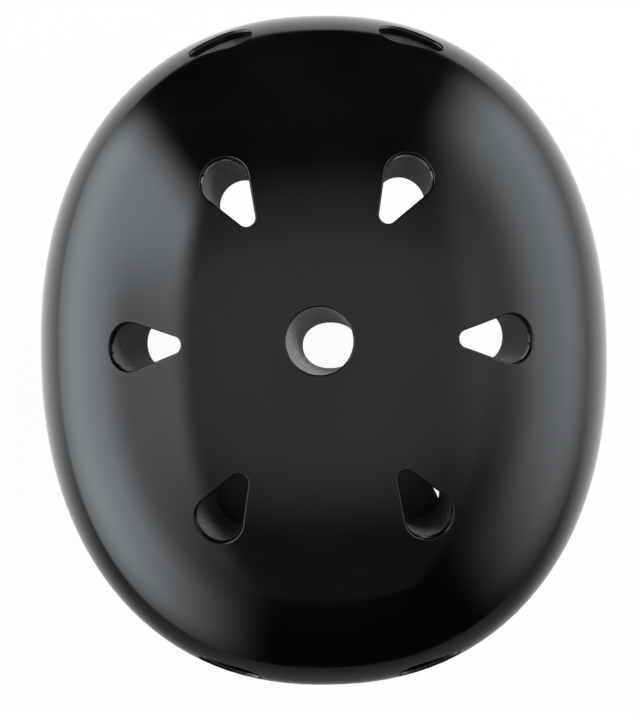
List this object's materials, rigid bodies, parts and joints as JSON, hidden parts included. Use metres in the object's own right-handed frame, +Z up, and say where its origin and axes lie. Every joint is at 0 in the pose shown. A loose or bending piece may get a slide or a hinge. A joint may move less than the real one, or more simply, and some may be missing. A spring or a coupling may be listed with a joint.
{
  "type": "bmx helmet",
  "caption": "Rounded hard-shell cycling helmet with round and teardrop vents, foam liner, comfort pads, dial-operated fit cradle and buckled webbing chin straps.",
  "frame": {"origin": "centre of the head cavity at the widest level of the shell, on the middle plane", "axes": "+Z up through the crown vent, -Y towards the brow, +X towards the wearer's left"},
  "size_m": [0.23, 0.272, 0.2695],
  "materials": {
    "shell": "gloss",
    "foam": "matt beaded foam",
    "pad": "knitted cover",
    "hook": "hook tape",
    "metal": "satin black",
    "steel": "satin",
    "webbing": "woven",
    "moulding": "satin",
    "rubber": "matt",
    "nylon": "satin"
  },
  "bodies": {
    "helmet": {"outer_shell": "shell", "foam_liner": "foam", "brow_pad": "pad", "crown_pad": "pad", "side_pad_left": "pad", "side_pad_right": "pad", "rear_pad": "pad", "hook_dots": "hook", "strap_rivets": "metal", "rivet_washers": "metal", "front_strap_left": "webbing", "front_strap_right": "webbing", "rear_strap_left": "webbing", "rear_strap_right": "webbing", "divider_left": "moulding", "divider_right": "moulding", "cradle_housing": "nylon", "cradle_cover": "nylon", "cover_screws": "steel", "band_left": "nylon", "band_right": "nylon", "temple_pins": "nylon", "cradle_arm_left": "nylon", "cradle_arm_right": "nylon", "arm_pins": "nylon", "nape_pad": "pad"},
    "chin_loop": {"chin_strap_left": "webbing", "chin_strap_right": "webbing", "buckle_socket": "moulding", "buckle_plug": "moulding"},
    "keeper": {"strap_keeper": "rubber"},
    "front_prong": {"prong_front": "moulding"},
    "rear_prong": {"prong_rear": "moulding"},
    "dial": {"fit_dial": "moulding", "dial_pinion": "nylon"},
    "left_rack": {"rack_left": "nylon"},
    "right_rack": {"rack_right": "nylon"}
  },
  "joints": [
    {"name": "chin_strap_swing", "type": "hinge", "parent": "helmet", "child": "chin_loop", "pos_m": [0, -0.033, -0.102], "axis": [1, 0, 0], "range_deg": [-45, 35]},
    {"name": "keeper_slide", "type": "slide", "parent": "chin_loop", "child": "keeper", "axis": [-0.7952, 0, -0.6063], "range_m": [-0.008, 0.008]},
    {"name": "front_prong_squeeze", "type": "hinge", "parent": "chin_loop", "child": "front_prong", "pos_m": [-0.011, -0.0402, -0.168], "axis": [0, 0, 1], "range_deg": [0, 7], "stiffness_Nm_per_rad": 0.01},
    {"name": "rear_prong_squeeze", "type": "hinge", "parent": "chin_loop", "child": "rear_prong", "pos_m": [-0.011, -0.0258, -0.168], "axis": [0, 0, 1], "range_deg": [-7, 0], "stiffness_Nm_per_rad": 0.01},
    {"name": "dial_turn", "type": "hinge", "parent": "helmet", "child": "dial", "pos_m": [0, 0.0947, -0.0755], "axis": [0, 1, 0], "range_deg": [0, 229]},
    {"name": "rack_left_slide", "type": "slide", "parent": "helmet", "child": "left_rack", "axis": [1, 0, 0], "range_m": [0, 0.016], "deforming": ["band_left"]},
    {"name": "rack_right_slide", "type": "slide", "parent": "helmet", "child": "right_rack", "axis": [-1, 0, 0], "range_m": [0, 0.016], "deforming": ["band_right"]}
  ],
  "couplings": [
    {"joint": "rack_left_slide", "follows": "dial_turn", "m_per_rad": 0.004},
    {"joint": "rack_right_slide", "follows": "dial_turn", "m_per_rad": 0.004}
  ]
}
